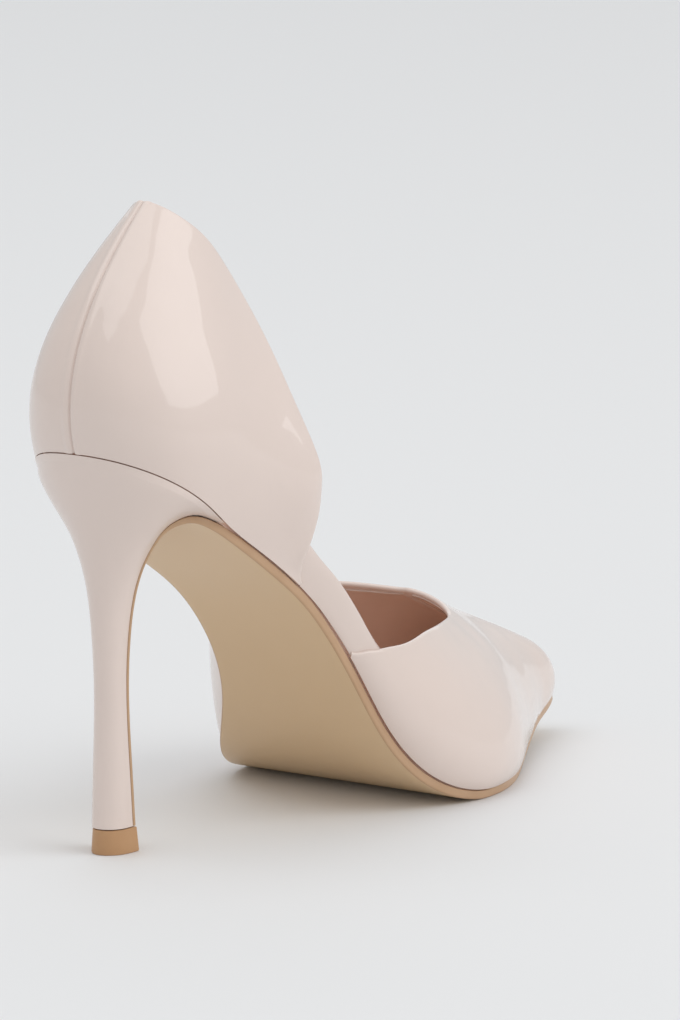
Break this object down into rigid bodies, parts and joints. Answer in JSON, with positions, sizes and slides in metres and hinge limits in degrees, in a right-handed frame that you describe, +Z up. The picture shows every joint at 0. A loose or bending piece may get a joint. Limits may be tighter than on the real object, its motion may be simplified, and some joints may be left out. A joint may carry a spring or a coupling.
{
  "type": "women's shoe",
  "caption": "Right pointed-toe pump with open sides, low waist bands joining its heel cup to its vamp, and a slim stiletto heel.",
  "frame": {"origin": "on the floor, in the middle of the heel tip's flat face", "axes": "+Y towards the toe along the shoe's length, +Z up, +X to the outer (lateral) side of the right foot"},
  "size_m": [0.081, 0.2067, 0.1592],
  "materials": {
    "upper": "blush patent leather, high gloss",
    "insole": "dusky pink lining leather, matte",
    "outsole": "beige sole leather, satin",
    "heel": "blush patent leather over a moulded heel, high gloss",
    "heel_tip": "tan polyurethane, satin"
  },
  "bodies": {
    "root": {"upper": "upper", "insole": "insole", "outsole": "outsole", "heel": "heel", "heel_tip": "heel_tip"}
  },
  "joints": []
}
